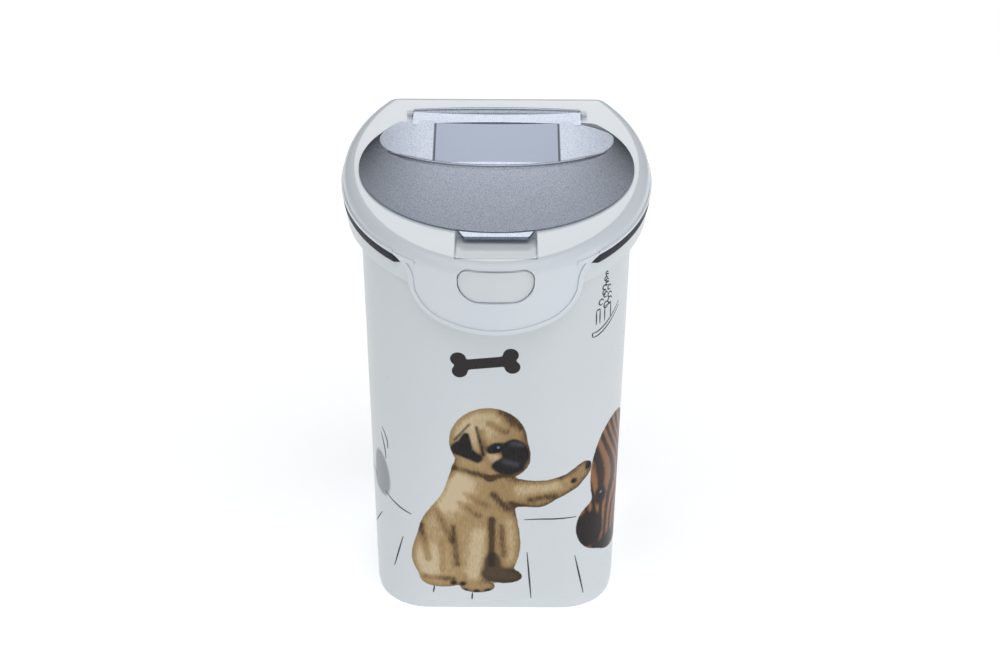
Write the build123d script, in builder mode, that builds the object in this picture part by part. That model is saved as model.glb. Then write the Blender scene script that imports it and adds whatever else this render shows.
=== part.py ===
"""Pet food bin: a tapered D-shaped tub with a hinged lid, and a pouring flap hinged in the lid.

Millimetres, +Z up, front towards -Y.  The origin is on the floor, under the middle of the
bounding box.  The plan outlines are ellipses cut off by a straight back, all struck from one
line across the bin, WIDEST_Y, where the bin is widest.
"""

from build123d import *
from math import cos, sin, radians, tan
import os

# ---------------------------------------------------------------- driving dimensions
LID_FRONT = 160.8          # from the widest line forwards to the face of the apron
HINGE_BACK = 118.0         # from the widest line back to the lid hinge axis
KNUCKLE_R = 5.5            # outer radius of the lid hinge knuckles
WIDEST_Y = (LID_FRONT - HINGE_BACK - KNUCKLE_R) / 2

WALL = 2.4                 # wall of the white mouldings
FILM = 0.25                # printed film round the tub

# tub
BASE_HALF = 103.8
BASE_FRONT = 129.8
BASE_BACK = 81.0
MOUTH_HALF = 113.3
MOUTH_FRONT = 139.0
MOUTH_BACK = 91.0
SHELF_Z = 354.0            # top of the shelf that carries the seal
COLLAR_DEPTH = 16.0        # skirt that hangs from the shelf
COLLAR_TUCK = 1.2          # the skirt draws in by this much at its lower edge
FLOOR_LIFT = 4.0           # hollow under the floor, inside the foot
FOOT_HEIGHT = 5.0
FOOT_STEP = 0.9
LIP_HEIGHT = 6.0           # upstanding lip inside the seal

# rim outline, shared by collar, seal and lid
RIM_HALF = 129.0
RIM_FRONT = 155.0
RIM_BACK = 109.0
LIP_INSET = 5.5            # from the collar's face in to the lip's face

BASE_CORNER = 46.0         # the tub's front corners grow rounder towards the mouth
MOUTH_CORNER = 98.0
TUB_BACK_CORNER = 26.0

# seal
SEAL_HEIGHT = 8.6

# lid
FLANGE_Z = 363.0           # underside of the lid's flange
FLANGE_T = 2.2
CAP_HALF = 130.0           # half width of the lid's cap; its front is LID_FRONT
FLANGE_REACH = 1.6         # the flange stands out this far from the cap
FLANGE_END = 84.0          # the flange stops here, where the apron's bead takes over
FLANGE_CUT_Y = 65.0        # only the flange in front of this is cut away
CAP_BACK = 112.0
DECK_FRONT_Z = 372.3       # deck plane, at DECK_FRONT_Y in front of the widest line
DECK_FRONT_Y = 148.0
DECK_TILT = 2.6
SHOULDER_R = 10.0
SHOULDER_SHRINK = 1.5      # the shoulder's inner radius shrinks this much faster than the inset
PLUG_DEPTH = 7.2           # the inner wall of the lid, below the flange
PLUG_GAP = 1.0
APRON_Z = 305.4            # lowest edge of the apron
APRON_TAPER = 4.3          # the apron draws in by this much over its height
BEAD_W = 4.0
BEAD_OUT = 0.9

# flap
FLAP_HALF = 116.0
FLAP_REACH = 102.0
FLAP_MID = 10.0            # the flap's ellipse stands this far in front of the widest line
FLAP_BACK = 60.0           # straight back edge, behind the widest line
FLAP_CORNER = 9.0
FLAP_T = 2.2
FLAP_GAP = 0.5             # rim of the flap above the deck
FLAP_RIM = 1.4
PLATE_R = 85.2             # round front edge of the flat top plate
PLATE_MID = 60.2
PLATE_BACK = 57.0
PLATE_CORNER = 5.0
PLATE_Z = 388.6
CROWN_R = 1300.0
BARREL_Y = 76.0            # flap hinge axis, behind the widest line
BARREL_Z = 383.6
BARREL_HALF = 72.5
BARREL_MID_R = 6.2
BARREL_END_R = 4.2

# pouring mouth in the deck
POUR_HALF = 99.0
POUR_REACH = 88.0
POUR_BACK = 44.0
POUR_WALL = 9.0            # depth of the wall round the mouth

FLAP_PIN_R = 1.6
FLAP_PIN_IN = 12.0         # length of each flap pin inside the barrel
FLAP_PIN_HOLD = 3.5        # and inside the lug on the lid
FLAP_LUG_R = 3.4
FLAP_LUG_CAP = 1.2         # plastic beyond the blind end of the lug's hole
LID_PIN_R = 2.0
PIN_PLAY = 0.05            # radial clearance of a knuckle on its pin
HINGE_Z = 356.0
HINGE_X = 60.0             # middle of each lid hinge
KNUCKLE_HALF = 10.0
EAR_T = 5.0
KNUCKLE_ROOT = 1.6         # how far a lid knuckle's web runs into the cap's back wall
SIDE_PLAY = 0.4            # gap between a knuckle and the ear beside it

CORNER_R = 14.0            # where the round sides turn into the straight back


# ---------------------------------------------------------------- outlines
def d_shape(half, reach, back, corner):
    """Face of an ellipse cut off by a straight back, with rounded corners."""
    with BuildSketch() as shape:
        Ellipse(half, reach)
        with Locations((0, back + reach)):
            Rectangle(3 * half, 2 * reach, mode=Mode.SUBTRACT)
        fillet(shape.vertices().filter_by_position(Axis.Y, back - 1, back + 1), corner)
    return shape.sketch


def tub_shape(half, front, back, front_corner):
    """Face of an oblong whose front corners are rounder than its back ones."""
    with BuildSketch() as shape:
        with Locations((0, (back - front) / 2)):
            Rectangle(2 * half, front + back)
        front_corners = shape.vertices().group_by(Axis.Y)[0]
        fillet(front_corners, front_corner)
        back_corners = shape.vertices().group_by(Axis.Y)[-1]
        fillet(back_corners, TUB_BACK_CORNER)
    return shape.sketch


def level(z):
    """Horizontal plane at a height, with its origin on the widest line."""
    return Plane(origin=(0, WIDEST_Y, z))


def tub_section(z, inset):
    """The tub's outline at a height, moved in by an inset."""
    share = z / SHELF_Z
    half = BASE_HALF + (MOUTH_HALF - BASE_HALF) * share
    front = BASE_FRONT + (MOUTH_FRONT - BASE_FRONT) * share
    back = BASE_BACK + (MOUTH_BACK - BASE_BACK) * share
    corner = BASE_CORNER + (MOUTH_CORNER - BASE_CORNER) * share
    return tub_shape(half - inset, front - inset, back - inset, corner - inset)


def rim(inset):
    """The rim's outline, moved in by an inset."""
    return d_shape(RIM_HALF - inset, RIM_FRONT - inset, RIM_BACK - inset, CORNER_R - inset / 2)


def front_plane():
    """Upright plane across the bin on the widest line, facing forwards."""
    return Plane(origin=(0, WIDEST_Y, 0), x_dir=(1, 0, 0), z_dir=(0, -1, 0))


def deck_z(y):
    """Height of the deck plane at a distance behind the widest line."""
    return DECK_FRONT_Z + (y + DECK_FRONT_Y) * tan(radians(DECK_TILT))


def deck_plane(y, above):
    """The tilted plane of the deck, with its origin at a distance behind the widest line."""
    tilt = radians(DECK_TILT)
    origin = (0, WIDEST_Y + y - above * sin(tilt), deck_z(y) + above * cos(tilt))
    return Plane(origin=origin, x_dir=(1, 0, 0), z_dir=(0, -sin(tilt), cos(tilt)))


def ring(plane, outer, inner, height):
    """Upright wall between two faces."""
    with BuildPart() as wall:
        with BuildSketch(plane):
            add(outer)
            add(inner, mode=Mode.SUBTRACT)
        extrude(amount=height)
    return wall.part


def block(x_range, y_range, z_range):
    """Box between limits; y is measured back from the widest line."""
    with BuildPart() as solid:
        with BuildSketch(level(z_range[0])):
            with Locations(((x_range[0] + x_range[1]) / 2, (y_range[0] + y_range[1]) / 2)):
                Rectangle(x_range[1] - x_range[0], y_range[1] - y_range[0])
        extrude(amount=z_range[1] - z_range[0])
    return solid.part


def rod(x_range, y, z, radius):
    """Round bar along X; y is measured back from the widest line."""
    with BuildPart() as bar:
        with BuildSketch(Plane(origin=(x_range[0], WIDEST_Y + y, z), x_dir=(0, 1, 0), z_dir=(1, 0, 0))):
            Circle(radius)
        extrude(amount=x_range[1] - x_range[0])
    return bar.part


def save(part, name):
    """Name a finished piece and write it."""
    part.label = name
    export_step(part, f"parts/{name}.step")
    print(name, "solids", len(part.solids()), "volume", round(part.volume / 1000, 1), "cm3")


os.makedirs("parts", exist_ok=True)

# ---------------------------------------------------------------- tub
COLLAR_Z = SHELF_Z - COLLAR_DEPTH
LIP_WALL = 2.2
FLOOR_TOP = FLOOR_LIFT + WALL
FOOT_WALL = 3.0

# catch: a pad on the collar that shows through the window in the apron
PAD_GAP = 0.4              # the pad stands clear of the seal
PAD_HALF = 30.0
PAD_LOW = 337.2
PAD_HIGH = 364.6
PAD_T = 2.4
PAD_ROOT = 2.0             # how far the pad's foot runs into the collar
PAD_CORNER = 17.0

LOFT_OVERRUN = 1.0         # lofts run past or stop short of a flat face by this much
EAR_LOW = 345.0
EAR_ROOT = 106.0
KNUCKLE_EDGES = (HINGE_X - KNUCKLE_HALF, HINGE_X + KNUCKLE_HALF)
EAR_EDGES = (
    (KNUCKLE_EDGES[0] - SIDE_PLAY - EAR_T, KNUCKLE_EDGES[0] - SIDE_PLAY),
    (KNUCKLE_EDGES[1] + SIDE_PLAY, KNUCKLE_EDGES[1] + SIDE_PLAY + EAR_T),
)
SIDES = (-1, 1)


def side_range(edges, side):
    """The same range of x on the left (-1) or the right (1) of the bin."""
    return tuple(sorted(side * edge for edge in edges))


def front_pad(half, low, high, corner):
    """Front view of a pad whose lower corners are rounder than its upper ones."""
    with BuildSketch() as shape:
        with Locations((0, (low + high) / 2)):
            Rectangle(2 * half, high - low)
        lower = shape.vertices().group_by(Axis.Y)[0]
        fillet(lower, corner)
        upper = shape.vertices().group_by(Axis.Y)[-1]
        fillet(upper, corner / 2)
    return shape.sketch


with BuildPart() as catch_pad:
    add(ring(level(PAD_LOW), rim(-PAD_T), rim(PAD_ROOT), SHELF_Z - PAD_LOW))
    add(ring(level(SHELF_Z), rim(-PAD_T), rim(-PAD_GAP), PAD_HIGH - SHELF_Z))
    with BuildSketch(front_plane()):
        add(front_pad(PAD_HALF, PAD_LOW, PAD_HIGH, PAD_CORNER))
    extrude(amount=LID_FRONT, mode=Mode.INTERSECT)

with BuildPart() as bin_body:
    with BuildSketch(level(FOOT_HEIGHT)):
        add(tub_section(FOOT_HEIGHT, 0))
    with BuildSketch(level(SHELF_Z - LOFT_OVERRUN)):
        add(tub_section(SHELF_Z - LOFT_OVERRUN, 0))
    loft(ruled=True)
    with BuildSketch(level(0)):
        add(tub_section(0, FOOT_STEP))
    extrude(amount=FOOT_HEIGHT)
    with BuildSketch(level(COLLAR_Z)):
        add(rim(COLLAR_TUCK))
    with BuildSketch(level(SHELF_Z)):
        add(rim(0))
    loft(ruled=True)
    with BuildSketch(level(COLLAR_Z)):
        add(rim(COLLAR_TUCK + WALL))
        add(tub_section(COLLAR_Z, 0), mode=Mode.SUBTRACT)
    extrude(amount=COLLAR_DEPTH - WALL, mode=Mode.SUBTRACT)
    with BuildSketch(level(SHELF_Z)):
        add(rim(LIP_INSET))
    extrude(amount=LIP_HEIGHT)
    with BuildSketch(level(SHELF_Z)):
        add(rim(LIP_INSET + LIP_WALL))
    extrude(amount=LIP_HEIGHT, mode=Mode.SUBTRACT)
    with BuildSketch(level(FLOOR_TOP)):
        add(tub_section(FLOOR_TOP, WALL))
    with BuildSketch(level(SHELF_Z + LOFT_OVERRUN)):
        add(tub_section(SHELF_Z + LOFT_OVERRUN, WALL))
    loft(ruled=True, mode=Mode.SUBTRACT)
    with BuildSketch(level(0)):
        add(tub_section(0, FOOT_STEP + FOOT_WALL))
    extrude(amount=FLOOR_LIFT, mode=Mode.SUBTRACT)
    add(catch_pad.part)
    for side in SIDES:
        for edges in EAR_EDGES:
            ear = side_range(edges, side)
            add(block(ear, (EAR_ROOT, HINGE_BACK), (EAR_LOW, SHELF_Z)))
            add(rod(ear, HINGE_BACK, HINGE_Z, KNUCKLE_R))
            add(rod(ear, HINGE_BACK, HINGE_Z, LID_PIN_R), mode=Mode.SUBTRACT)
save(bin_body.part, "bin_body")

with BuildPart() as seal_ring:
    add(ring(level(SHELF_Z), rim(0), rim(LIP_INSET), SEAL_HEIGHT))
save(seal_ring.part, "seal_ring")

# ---------------------------------------------------------------- printed film
FILM_LOW = 8.0
FILM_HIGH = COLLAR_Z - 0.5  # just under the collar
FILM_BACK = 58.0           # the film stops here on both sides, behind the widest line

with BuildPart() as wall_label:
    with BuildSketch(level(FILM_LOW)):
        add(tub_section(FILM_LOW, -FILM))
    with BuildSketch(level(FILM_HIGH)):
        add(tub_section(FILM_HIGH, -FILM))
    loft(ruled=True)
    with BuildSketch(level(FILM_LOW)):
        add(tub_section(FILM_LOW, 0))
    with BuildSketch(level(FILM_HIGH)):
        add(tub_section(FILM_HIGH, 0))
    loft(ruled=True, mode=Mode.SUBTRACT)
    with BuildSketch(level(0)):
        with Locations((0, FILM_BACK + RIM_BACK)):
            Rectangle(3 * RIM_HALF, 2 * RIM_BACK)
    extrude(amount=SHELF_Z, mode=Mode.SUBTRACT)
save(wall_label.part, "wall_label")

# ---------------------------------------------------------------- lid
FLANGE_TOP = FLANGE_Z + FLANGE_T
PLUG_INSET = LIP_INSET + LIP_WALL + PLUG_GAP
PLUG_WALL = 2.2
DECK_TOP = 400.0           # above everything on the lid

APRON_BOTTOM = ((24.0, 1.8), (45.0, 6.2))   # x and rise of the apron's lower edge
APRON_SIDE = ((70.2, 337.0), (71.0, 346.0))  # x and z of its steep sides
APRON_TOP_HALF = 88.0      # it flares out to this under the flange
APRON_TOP_Z = FLANGE_Z + FLANGE_T / 2
BEAD_TOP_HALF = 66.0       # no bead across the top, where the apron meets the cap
BEAD_TOP_DROP = 30.0

WINDOW_HALF = 31.2
WINDOW_LOW = 335.8
WINDOW_HIGH = 367.6
WINDOW_CORNER = 18.0
WINDOW_BACK = 150.0

NOTCH_HALF = 33.0
NOTCH_BACK = 107.0         # the notch starts under the flap
NOTCH_FRONT = 147.5
NOTCH_CORNER = 8.0
NOTCH_DEEP_Z = 367.2
NOTCH_SHALLOW_Z = 371.2

TROUGH_R = 7.4             # half the width of the slot that the flap's barrel lies in
TROUGH_END = 0.8
TROUGH_WALL = 8.0
TROUGH_DEPTH = 7.0


def cap_shape(inset):
    """Outline of the lid's cap, moved in by an inset."""
    return d_shape(CAP_HALF - inset, LID_FRONT - inset, CAP_BACK - inset, CORNER_R - inset)


def cap_block(inset):
    """Solid under the lid's outer surface, moved in by an inset."""
    with BuildPart() as solid:
        with BuildSketch(level(FLANGE_Z)):
            add(cap_shape(inset))
        extrude(amount=DECK_TOP - FLANGE_Z)
        split(bisect_by=deck_plane(0, -inset), keep=Keep.BOTTOM)
        deck_edges = solid.faces().sort_by(Axis.Z)[-1].edges()
        fillet(deck_edges, SHOULDER_R - SHOULDER_SHRINK * inset)
    return solid.part


def apron_shell(out):
    """Tapered wall in front of the rim, its face moved outwards."""
    with BuildPart() as shell:
        for inset, mode in ((-out, Mode.ADD), (WALL, Mode.SUBTRACT)):
            with BuildSketch(level(APRON_Z - 2)):
                add(cap_shape(inset + APRON_TAPER))
            with BuildSketch(level(FLANGE_TOP)):
                add(cap_shape(inset))
            loft(ruled=True, mode=mode)
    return shell.part


def apron_view(inset):
    """Front view of the apron, moved in by an inset."""
    with BuildSketch() as view:
        with BuildLine():
            low = [(x, APRON_Z + rise) for x, rise in APRON_BOTTOM]
            bottom = ThreePointArc((0, APRON_Z), *low)
            corner = TangentArc(bottom @ 1, APRON_SIDE[0], tangent=bottom % 1)
            side = Line(corner @ 1, APRON_SIDE[1])
            flare = TangentArc(side @ 1, (APRON_TOP_HALF, FLANGE_Z), tangent=side % 1)
            Line(flare @ 1, (APRON_TOP_HALF, APRON_TOP_Z))
            Line((APRON_TOP_HALF, APRON_TOP_Z), (0, APRON_TOP_Z))
            mirror(about=Plane.YZ)
        make_face()
        if inset:
            offset(amount=-inset, kind=Kind.INTERSECTION, mode=Mode.REPLACE)
    return view.sketch


def pour_shape(inset):
    """Outline of the pouring mouth in the deck, moved in by an inset."""
    back = POUR_BACK + FLAP_MID - inset
    return d_shape(POUR_HALF - inset, POUR_REACH - inset, back, CORNER_R - inset)


with BuildPart() as apron:
    add(apron_shell(0))
    with BuildSketch(front_plane()):
        add(apron_view(0))
    extrude(amount=2 * LID_FRONT, mode=Mode.INTERSECT)

with BuildPart() as apron_bead:
    add(apron_shell(BEAD_OUT))
    with BuildSketch(front_plane()):
        add(apron_view(0))
        add(apron_view(BEAD_W), mode=Mode.SUBTRACT)
        with Locations((0, FLANGE_TOP)):
            Rectangle(2 * BEAD_TOP_HALF, 2 * BEAD_TOP_DROP, mode=Mode.SUBTRACT)
    extrude(amount=2 * LID_FRONT, mode=Mode.INTERSECT)

with BuildPart() as flange:
    add(ring(level(FLANGE_Z), cap_shape(-FLANGE_REACH), cap_shape(WALL / 2), FLANGE_T))
    front_half = (-2 * LID_FRONT, -FLANGE_CUT_Y)
    add(block((-FLANGE_END, FLANGE_END), front_half, (0, DECK_TOP)), mode=Mode.SUBTRACT)

with BuildPart() as below_deck:
    add(block((-NOTCH_HALF - WALL, NOTCH_HALF + WALL), (-2 * LID_FRONT, -NOTCH_BACK + WALL),
              (NOTCH_DEEP_Z - WALL, DECK_TOP)))
    trough_half = BARREL_HALF + TROUGH_END + TROUGH_WALL
    add(block((-trough_half, trough_half), (BARREL_Y - TROUGH_R - WALL, BARREL_Y + TROUGH_R + WALL),
              (BARREL_Z - TROUGH_DEPTH - WALL, DECK_TOP)))
    add(ring(level(FLANGE_Z), rim(PLUG_INSET), rim(PLUG_INSET + PLUG_WALL), DECK_TOP - FLANGE_Z))
    add(ring(deck_plane(-FLAP_MID, -POUR_WALL), pour_shape(-WALL), pour_shape(0), DECK_TOP - FLANGE_Z))
    add(cap_block(0), mode=Mode.INTERSECT)

with BuildPart() as notch:
    with BuildSketch(level(NOTCH_DEEP_Z - WALL)) as notch_plan:
        with Locations((0, -(NOTCH_BACK + NOTCH_FRONT) / 2)):
            Rectangle(2 * NOTCH_HALF, NOTCH_FRONT - NOTCH_BACK)
        fillet(notch_plan.vertices().group_by(Axis.Y)[0], NOTCH_CORNER)
    extrude(amount=DECK_TOP - NOTCH_DEEP_Z)
    rise = (NOTCH_SHALLOW_Z - NOTCH_DEEP_Z) / (NOTCH_FRONT - NOTCH_BACK)
    notch_root = (0, WIDEST_Y - NOTCH_BACK, NOTCH_DEEP_Z)
    floor_plane = Plane(origin=notch_root, x_dir=(1, 0, 0), z_dir=(0, rise, 1))
    split(bisect_by=floor_plane, keep=Keep.TOP)

with BuildPart() as lid_frame:
    add(cap_block(0))
    add(cap_block(WALL), mode=Mode.SUBTRACT)
    add(below_deck.part)
    add(flange.part)
    plug_z = FLANGE_Z - PLUG_DEPTH
    add(ring(level(plug_z), rim(PLUG_INSET), rim(PLUG_INSET + PLUG_WALL), PLUG_DEPTH))
    add(apron.part)
    add(apron_bead.part)
    for side in SIDES:
        knuckle = side_range(KNUCKLE_EDGES, side)
        add(rod(knuckle, HINGE_BACK, HINGE_Z, KNUCKLE_R))
        add(block(knuckle, (CAP_BACK - KNUCKLE_ROOT, HINGE_BACK), (HINGE_Z, FLANGE_TOP)))
        add(rod(knuckle, HINGE_BACK, HINGE_Z, LID_PIN_R + PIN_PLAY), mode=Mode.SUBTRACT)
    with BuildSketch(deck_plane(-FLAP_MID, -POUR_WALL - WALL)):
        add(pour_shape(0))
    extrude(amount=DECK_TOP - FLANGE_Z, mode=Mode.SUBTRACT)
    add(notch.part, mode=Mode.SUBTRACT)
    slot = (-BARREL_HALF - TROUGH_END, BARREL_HALF + TROUGH_END)
    slot_y = (BARREL_Y - TROUGH_R, BARREL_Y + TROUGH_R)
    add(block(slot, slot_y, (BARREL_Z - TROUGH_DEPTH, DECK_TOP)), mode=Mode.SUBTRACT)
    with BuildSketch(front_plane().offset(WINDOW_BACK)):
        add(front_pad(WINDOW_HALF, WINDOW_LOW, WINDOW_HIGH, WINDOW_CORNER))
    extrude(amount=LID_FRONT, mode=Mode.SUBTRACT)
    pin_edges = (BARREL_HALF + TROUGH_END, BARREL_HALF + TROUGH_END + FLAP_PIN_HOLD)
    for side in SIDES:
        lug = side_range((pin_edges[0], pin_edges[1] + FLAP_LUG_CAP), side)
        add(rod(lug, BARREL_Y, BARREL_Z, FLAP_LUG_R))
        add(rod(side_range(pin_edges, side), BARREL_Y, BARREL_Z, FLAP_PIN_R), mode=Mode.SUBTRACT)
save(lid_frame.part, "lid_frame")

# ---------------------------------------------------------------- flap
PLUG_IN = 3.2              # the flap's plug stands in from the mouth's wall
PLUG_T = 1.8
PLUG_LOW = -5.5            # lower edge of the plug, from the deck
GASKET_IN = 0.9
GASKET_LOW = -4.0
GASKET_H = 2.4

RECESS_HALF = 53.0
RECESS_BACK = 52.0
RECESS_FRONT = 18.0
RECESS_BACK_DEPTH = 1.0
RECESS_FRONT_DEPTH = 3.4
RECESS_CORNER = 5.0

LEAF_FRONT = 50.0          # web that joins the plate to the barrel
LEAF_LOW = 1.0             # its underside and top, above the hinge axis
LEAF_TOP = 3.3

TAB_ROOT_HALF = 31.0
TAB_TIP_HALF = 26.5
TAB_ROOT = 108.0
TAB_TIP = 118.5
TAB_LOW = 372.8
TAB_T = 2.5


def flap_rim(inset):
    """Outline of the flap's rim, moved in by an inset."""
    return d_shape(FLAP_HALF - inset, FLAP_REACH - inset, FLAP_BACK + FLAP_MID - inset, FLAP_CORNER - inset)


def flap_plate(inset):
    """Outline of the flat top plate, moved in by an inset."""
    radius = PLATE_R - inset
    return d_shape(radius, radius, PLATE_BACK - PLATE_MID - inset, PLATE_CORNER - inset)


def flap_block(inset):
    """Solid under the flap's outer surface, moved in by an inset."""
    with BuildPart() as solid:
        with BuildSketch(deck_plane(-FLAP_MID, FLAP_GAP)):
            add(flap_rim(inset))
        extrude(amount=FLAP_RIM - inset / 2)
        with BuildSketch(deck_plane(-FLAP_MID, FLAP_GAP + FLAP_RIM - inset / 2)):
            add(flap_rim(inset))
        with BuildSketch(Plane(origin=(0, WIDEST_Y + PLATE_MID, PLATE_Z - inset))):
            add(flap_plate(inset))
        loft(ruled=True)
        with BuildSketch(front_plane().offset(-2 * RIM_BACK)):
            with Locations((0, PLATE_Z - inset - CROWN_R)):
                Circle(CROWN_R)
        extrude(amount=3 * LID_FRONT, mode=Mode.INTERSECT)
    return solid.part


with BuildPart() as barrel:
    with BuildSketch(front_plane().offset(-BARREL_Y)):
        with BuildLine():
            Line((-BARREL_HALF, BARREL_Z), (-BARREL_HALF, BARREL_Z + BARREL_END_R))
            ThreePointArc(
                (-BARREL_HALF, BARREL_Z + BARREL_END_R),
                (0, BARREL_Z + BARREL_MID_R),
                (BARREL_HALF, BARREL_Z + BARREL_END_R),
            )
            Line((BARREL_HALF, BARREL_Z + BARREL_END_R), (BARREL_HALF, BARREL_Z))
            Line((BARREL_HALF, BARREL_Z), (-BARREL_HALF, BARREL_Z))
        make_face()
    revolve(axis=Axis((0, WIDEST_Y + BARREL_Y, BARREL_Z), (1, 0, 0)))

with BuildPart() as recess:
    with BuildSketch(level(PLATE_Z - 2 * RECESS_FRONT_DEPTH)) as recess_plan:
        with Locations((0, (RECESS_BACK - RECESS_FRONT) / 2)):
            Rectangle(2 * RECESS_HALF, RECESS_BACK + RECESS_FRONT)
        fillet(recess_plan.vertices(), RECESS_CORNER)
    extrude(amount=DECK_TOP - PLATE_Z)
    fall = (RECESS_FRONT_DEPTH - RECESS_BACK_DEPTH) / (RECESS_BACK + RECESS_FRONT)
    recess_floor = Plane(
        origin=(0, WIDEST_Y + RECESS_BACK, PLATE_Z - RECESS_BACK_DEPTH),
        x_dir=(1, 0, 0),
        z_dir=(0, -fall, 1),
    )
    split(bisect_by=recess_floor, keep=Keep.TOP)

with BuildPart() as under_plate:
    add(block(
        (-RECESS_HALF - FLAP_T, RECESS_HALF + FLAP_T),
        (-RECESS_FRONT - FLAP_T, RECESS_BACK + FLAP_T),
        (PLATE_Z - RECESS_FRONT_DEPTH - FLAP_T, DECK_TOP),
    ))
    plug_plane = deck_plane(-FLAP_MID, FLAP_GAP)
    add(ring(plug_plane, pour_shape(PLUG_IN), pour_shape(PLUG_IN + PLUG_T), DECK_TOP - FLANGE_Z))
    add(flap_block(0), mode=Mode.INTERSECT)

with BuildPart() as tab:
    with BuildSketch(level(TAB_LOW)) as tab_plan:
        with BuildLine():
            Polyline(
                (-TAB_ROOT_HALF, -TAB_ROOT),
                (-TAB_TIP_HALF, -TAB_TIP),
                (TAB_TIP_HALF, -TAB_TIP),
                (TAB_ROOT_HALF, -TAB_ROOT),
                close=True,
            )
        make_face()
        fillet(tab_plan.vertices().group_by(Axis.Y)[0], TAB_T)
    extrude(amount=TAB_T)

with BuildPart() as flap:
    add(flap_block(0))
    add(flap_block(FLAP_T), mode=Mode.SUBTRACT)
    add(under_plate.part)
    plug_plane = deck_plane(-FLAP_MID, PLUG_LOW)
    add(ring(plug_plane, pour_shape(PLUG_IN), pour_shape(PLUG_IN + PLUG_T), FLAP_GAP - PLUG_LOW + FLAP_RIM))
    leaf_y = (LEAF_FRONT, BARREL_Y - 1)
    add(block((-BARREL_HALF, BARREL_HALF), leaf_y, (BARREL_Z + LEAF_LOW, BARREL_Z + LEAF_TOP)))
    add(barrel.part)
    add(tab.part)
    add(recess.part, mode=Mode.SUBTRACT)
    bore_edges = (BARREL_HALF - FLAP_PIN_IN, BARREL_HALF)
    for side in SIDES:
        bore = side_range(bore_edges, side)
        add(rod(bore, BARREL_Y, BARREL_Z, FLAP_PIN_R + PIN_PLAY), mode=Mode.SUBTRACT)
save(flap.part, "flap")

with BuildPart() as flap_gasket:
    gasket_plane = deck_plane(-FLAP_MID, GASKET_LOW)
    add(ring(gasket_plane, pour_shape(GASKET_IN), pour_shape(PLUG_IN), GASKET_H))
save(flap_gasket.part, "flap_gasket")

# ---------------------------------------------------------------- hinge pins
with BuildPart() as flap_hinge_pins:
    reach = (BARREL_HALF + TROUGH_END - FLAP_PIN_IN, pin_edges[1])
    for side in SIDES:
        add(rod(side_range(reach, side), BARREL_Y, BARREL_Z, FLAP_PIN_R))
save(flap_hinge_pins.part, "flap_hinge_pins")

with BuildPart() as lid_hinge_pins:
    for side in SIDES:
        add(rod(side_range((EAR_EDGES[0][0], EAR_EDGES[1][1]), side), HINGE_BACK, HINGE_Z, LID_PIN_R))
save(lid_hinge_pins.part, "lid_hinge_pins")
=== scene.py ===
# %% [markdown]
# # A pet food bin, dressed for its picture
# The bin is a tapered plastic tub with a printed film round it, a dark seal, a white lid with
# a catch apron, and a silver pouring flap.  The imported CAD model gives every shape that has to
# fit or move, so it is loaded first and never moved.  This script adds the finishes, the
# printed film with its drawing, and a few small details that are easier as meshes.

# %% Load the frame
import bpy
import numpy as np
from math import cos, pi, radians, sin
from mathutils import Matrix, Vector
from mathutils.bvhtree import BVHTree


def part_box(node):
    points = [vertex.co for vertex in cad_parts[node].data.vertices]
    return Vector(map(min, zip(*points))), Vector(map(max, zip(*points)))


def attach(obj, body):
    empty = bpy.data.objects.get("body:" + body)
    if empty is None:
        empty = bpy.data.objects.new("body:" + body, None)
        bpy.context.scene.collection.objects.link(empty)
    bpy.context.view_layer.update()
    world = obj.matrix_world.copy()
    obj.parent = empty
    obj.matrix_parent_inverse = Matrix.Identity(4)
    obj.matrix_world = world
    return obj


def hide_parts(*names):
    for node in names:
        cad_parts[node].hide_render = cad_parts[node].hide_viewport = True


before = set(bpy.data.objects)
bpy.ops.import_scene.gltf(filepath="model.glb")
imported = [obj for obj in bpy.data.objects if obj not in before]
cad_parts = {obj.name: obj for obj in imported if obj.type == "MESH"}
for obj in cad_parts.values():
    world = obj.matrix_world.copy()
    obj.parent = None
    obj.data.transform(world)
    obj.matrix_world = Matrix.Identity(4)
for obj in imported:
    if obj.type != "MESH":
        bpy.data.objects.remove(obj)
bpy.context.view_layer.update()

print("pieces in the frame:", sorted(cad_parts))

# %% [markdown]
# ## Measures
# The widest line of the bin runs across it under the rim's ellipse.  The seal follows that
# ellipse, so the line is found from the front of the seal's box.

# %% Driving measures, in metres
MM = 0.001
RIM_HALF, RIM_REACH, RIM_BACK = 129.0, 155.0, 109.0     # of the rim's ellipse, in millimetres
WIDEST_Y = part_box("seal_ring")[0][1] + RIM_REACH * MM
FILM_LOW, FILM_HIGH = (corner[2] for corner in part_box("wall_label"))
print("widest line at", round(WIDEST_Y, 4), "film from", round(FILM_LOW, 4), "to", round(FILM_HIGH, 4))

# %% [markdown]
# ## Camera
# A long lens a good two metres away looks down on the bin from the front.  Placing a camera by
# its aim, its height angle and its distance is easier to read than a rotation, so the
# three axes of the camera are built from those.

# %% Camera
AIM = Vector((3.55 * MM, WIDEST_Y, 205.3 * MM))
LOOK_DOWN = radians(33.0)
ROLL = radians(0.279)
DISTANCE = 2.2
LENS, SENSOR = 89.57, 36.0      # in millimetres

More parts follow.
